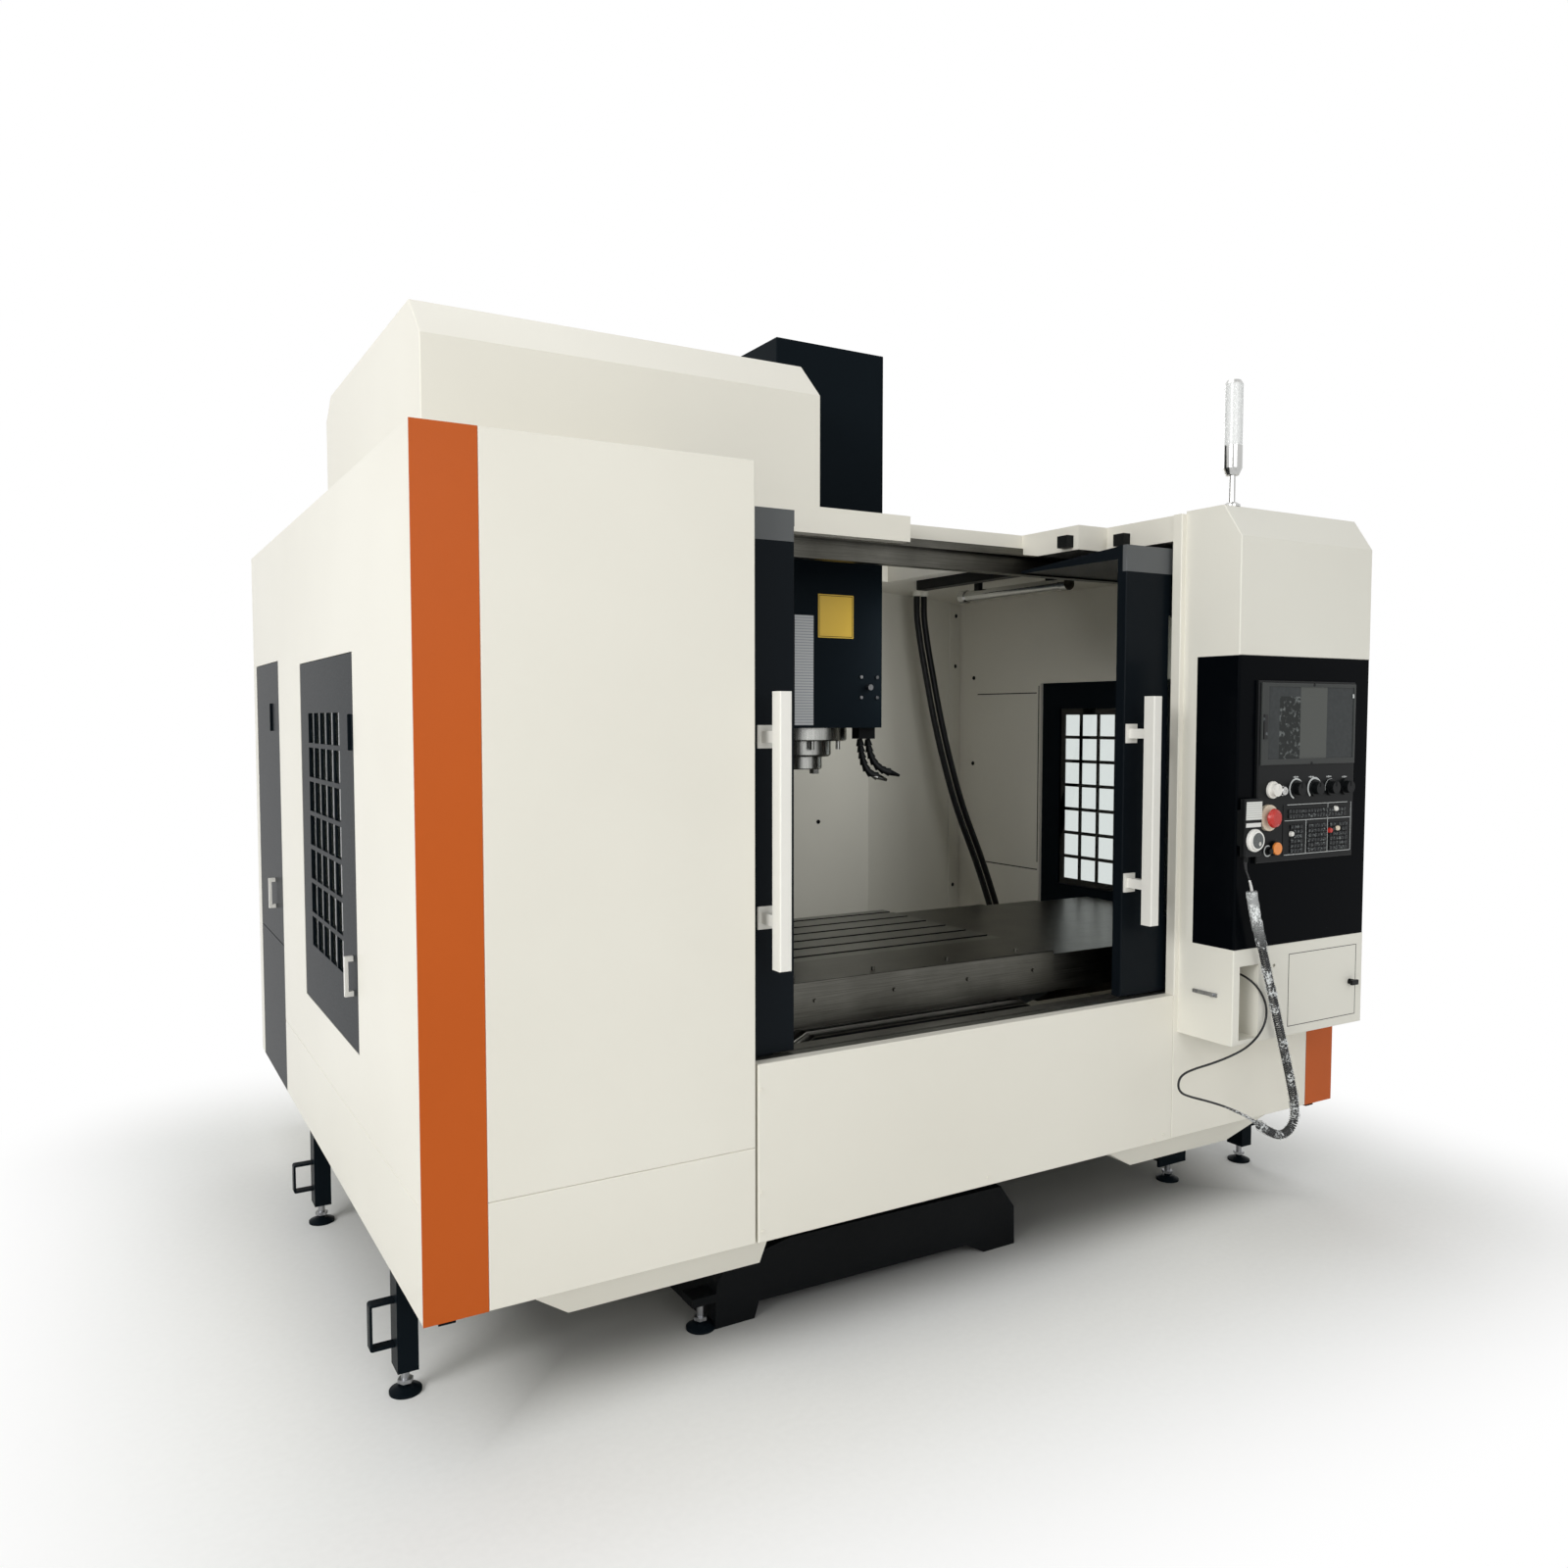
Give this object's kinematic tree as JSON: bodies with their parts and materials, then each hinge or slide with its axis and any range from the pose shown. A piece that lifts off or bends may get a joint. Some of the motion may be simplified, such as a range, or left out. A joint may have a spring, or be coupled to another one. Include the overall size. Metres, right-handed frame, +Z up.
{
  "type": "cnc machining centre",
  "caption": "Enclosed vertical machining centre with a T-slot table, travelling head, tool magazine, sliding front doors and a side-mounted control.",
  "frame": {"origin": "on the floor, in the middle of the machine's footprint", "axes": "+X to the operator's right, +Y to the rear, +Z up; the doors and the control face -Y"},
  "size_m": [2.856, 2.5205, 2.541],
  "materials": {
    "white_powder_coat": "fine textured powder coat",
    "orange_powder_coat": "fine textured powder coat",
    "black_powder_coat": "satin powder coat",
    "white_door_paint": "satin powder coat",
    "black_cast_iron": "painted casting",
    "grey_cast_iron": "painted casting",
    "ground_cast_iron": "ground",
    "stainless_steel": "brushed",
    "polished_steel": "ground",
    "painted_steel": "satin paint",
    "silver_aluminium": "anodised",
    "clear_glass": "clear",
    "clear_plastic": "clear",
    "black_gloss": "gloss",
    "black_plastic": "matt",
    "red_plastic": "gloss",
    "orange_plastic": "gloss",
    "white_plastic": "gloss",
    "black_rubber": "matt"
  },
  "bodies": {
    "machine": {"bed_casting": "black_cast_iron", "column_casting": "grey_cast_iron", "feet_and_legs": "black_powder_coat", "corner_strips": "orange_powder_coat", "outer_panels": "white_powder_coat", "front_apron": "white_powder_coat", "door_tracks": "stainless_steel", "fixed_way_covers": "stainless_steel", "rear_cabinet": "white_powder_coat", "inner_walls": "white_powder_coat", "roof_panels": "white_powder_coat", "magazine_hood": "white_powder_coat", "control_housing": "white_powder_coat", "control_case": "black_gloss", "screen_unit": "black_gloss", "operator_panel": "black_plastic", "stack_light_mast": "polished_steel", "stack_light_lens": "clear_plastic", "work_lamp": "black_plastic", "axis_motors": "painted_steel", "pendant": "black_plastic", "coiled_cable": "black_rubber", "loop_cable": "black_rubber", "hose_left": "black_rubber", "hose_right": "black_rubber", "magazine_frame": "grey_cast_iron"},
    "saddle": {"saddle_casting": "grey_cast_iron", "saddle_covers": "stainless_steel"},
    "table": {"table": "ground_cast_iron", "table_guards": "stainless_steel"},
    "x_covers": {"x_cover_middle": "stainless_steel"},
    "y_covers_2": {"y_cover_2": "stainless_steel"},
    "y_covers_3": {"y_cover_3": "stainless_steel"},
    "z_covers": {"z_cover_middle": "stainless_steel"},
    "head": {"head_casting": "grey_cast_iron", "head_cover": "black_powder_coat", "spindle_cartridge": "polished_steel", "coolant_nozzles": "black_plastic"},
    "spindle": {"spindle": "polished_steel"},
    "x_screw": {"x_ballscrew": "polished_steel"},
    "y_screw": {"y_ballscrew": "polished_steel"},
    "z_screw": {"z_ballscrew": "polished_steel"},
    "disc": {"tool_disc": "painted_steel"},
    "arm": {"tool_arm": "polished_steel"},
    "left_door": {"left_door": "black_powder_coat", "left_door_glass": "clear_glass", "left_door_handle": "silver_aluminium"},
    "right_door": {"right_door": "black_powder_coat", "right_door_glass": "clear_glass", "right_door_handle": "silver_aluminium"},
    "left_window": {"left_window_door": "black_powder_coat"},
    "right_window": {"right_window_door": "black_powder_coat"},
    "cabinet_door": {"cabinet_door": "black_powder_coat"},
    "base_door": {"base_box_door": "white_door_paint"},
    "e_stop": {"e_stop_button": "red_plastic"},
    "start_button": {"start_button": "orange_plastic"},
    "pulse_dial": {"pulse_dial": "white_plastic"},
    "selector_1": {"selector_1": "black_plastic"},
    "selector_2": {"selector_2": "black_plastic"},
    "selector_3": {"selector_3": "black_plastic"}
  },
  "joints": [
    {"name": "y_slide", "type": "slide", "parent": "machine", "child": "saddle", "axis": [0, 1, 0], "range_m": [-0.1, 0.4]},
    {"name": "x_slide", "type": "slide", "parent": "saddle", "child": "table", "axis": [1, 0, 0], "range_m": [-0.31, 0.49]},
    {"name": "x_cover_slide", "type": "slide", "parent": "saddle", "child": "x_covers", "axis": [1, 0, 0], "range_m": [-0.156, 0.246]},
    {"name": "y_cover_2_slide", "type": "slide", "parent": "machine", "child": "y_covers_2", "axis": [0, 1, 0], "range_m": [-0.067, 0.267]},
    {"name": "y_cover_3_slide", "type": "slide", "parent": "machine", "child": "y_covers_3", "axis": [0, 1, 0], "range_m": [-0.034, 0.134]},
    {"name": "z_slide", "type": "slide", "parent": "machine", "child": "head", "axis": [0, 0, 1], "range_m": [-0.38, 0.22]},
    {"name": "z_cover_slide", "type": "slide", "parent": "machine", "child": "z_covers", "axis": [0, 0, 1], "range_m": [-0.191, 0.111]},
    {"name": "spindle_spin", "type": "hinge", "parent": "head", "child": "spindle", "pos_m": [-0.005, -0.161, 1.306], "axis": [0, 0, 1], "continuous": true},
    {"name": "x_screw_spin", "type": "hinge", "parent": "saddle", "child": "x_screw", "pos_m": [-0.005, -0.321, 0.632], "axis": [1, 0, 0], "continuous": true},
    {"name": "y_screw_spin", "type": "hinge", "parent": "machine", "child": "y_screw", "pos_m": [-0.005, -0.156, 0.49], "axis": [0, 1, 0], "continuous": true},
    {"name": "z_screw_spin", "type": "hinge", "parent": "machine", "child": "z_screw", "pos_m": [-0.005, 0.524, 1.3], "axis": [0, 0, 1], "continuous": true},
    {"name": "disc_spin", "type": "hinge", "parent": "machine", "child": "disc", "pos_m": [-0.665, -0.161, 1.925], "axis": [1, 0, 0], "continuous": true},
    {"name": "arm_swing", "type": "hinge", "parent": "machine", "child": "arm", "pos_m": [-0.285, -0.161, 1.262], "axis": [0, 0, 1], "range_deg": [0, 270]},
    {"name": "left_door_slide", "type": "slide", "parent": "machine", "child": "left_door", "axis": [1, 0, 0], "range_m": [0, 0.5225]},
    {"name": "right_door_slide", "type": "slide", "parent": "machine", "child": "right_door", "axis": [-1, 0, 0], "range_m": [0, 0.5185]},
    {"name": "left_window_hinge", "type": "hinge", "parent": "machine", "child": "left_window", "pos_m": [-1.378, 0.261, 1.1475], "axis": [0, 0, -1], "range_deg": [0, 90]},
    {"name": "right_window_hinge", "type": "hinge", "parent": "machine", "child": "right_window", "pos_m": [1.378, 0.261, 1.1475], "axis": [0, 0, 1], "range_deg": [0, 90]},
    {"name": "cabinet_door_hinge", "type": "hinge", "parent": "machine", "child": "cabinet_door", "pos_m": [-1.378, 1.181, 0.96], "axis": [0, 0, -1], "range_deg": [0, 90]},
    {"name": "base_door_hinge", "type": "hinge", "parent": "machine", "child": "base_door", "pos_m": [0.932, -1.207, 0.7135], "axis": [0, 0, -1], "range_deg": [0, 90]},
    {"name": "e_stop_press", "type": "slide", "parent": "machine", "child": "e_stop", "axis": [0, 1, 0], "range_m": [0, 0.005]},
    {"name": "start_press", "type": "slide", "parent": "machine", "child": "start_button", "axis": [0, 1, 0], "range_m": [0, 0.003], "stiffness_N_per_m": 300},
    {"name": "dial_spin", "type": "hinge", "parent": "machine", "child": "pulse_dial", "pos_m": [0.735, -1.24, 1.14], "axis": [0, 1, 0], "continuous": true},
    {"name": "selector_1_turn", "type": "hinge", "parent": "machine", "child": "selector_1", "pos_m": [0.824, -1.224, 1.27], "axis": [0, 1, 0], "range_deg": [-75, 75]},
    {"name": "selector_2_turn", "type": "hinge", "parent": "machine", "child": "selector_2", "pos_m": [0.925, -1.224, 1.27], "axis": [0, 1, 0], "range_deg": [-75, 75]},
    {"name": "selector_3_turn", "type": "hinge", "parent": "machine", "child": "selector_3", "pos_m": [1.003, -1.224, 1.27], "axis": [0, 1, 0], "range_deg": [-45, 45]}
  ],
  "couplings": [
    {"joint": "x_cover_slide", "follows": "x_slide", "ratio": 0.5},
    {"joint": "x_screw_spin", "follows": "x_slide", "rad_per_m": 628.32},
    {"joint": "y_cover_2_slide", "follows": "y_slide", "ratio": 0.66667},
    {"joint": "y_cover_3_slide", "follows": "y_slide", "ratio": 0.33333},
    {"joint": "y_screw_spin", "follows": "y_slide", "rad_per_m": 628.32},
    {"joint": "z_cover_slide", "follows": "z_slide", "ratio": 0.5},
    {"joint": "z_screw_spin", "follows": "z_slide", "rad_per_m": 628.32}
  ]
}
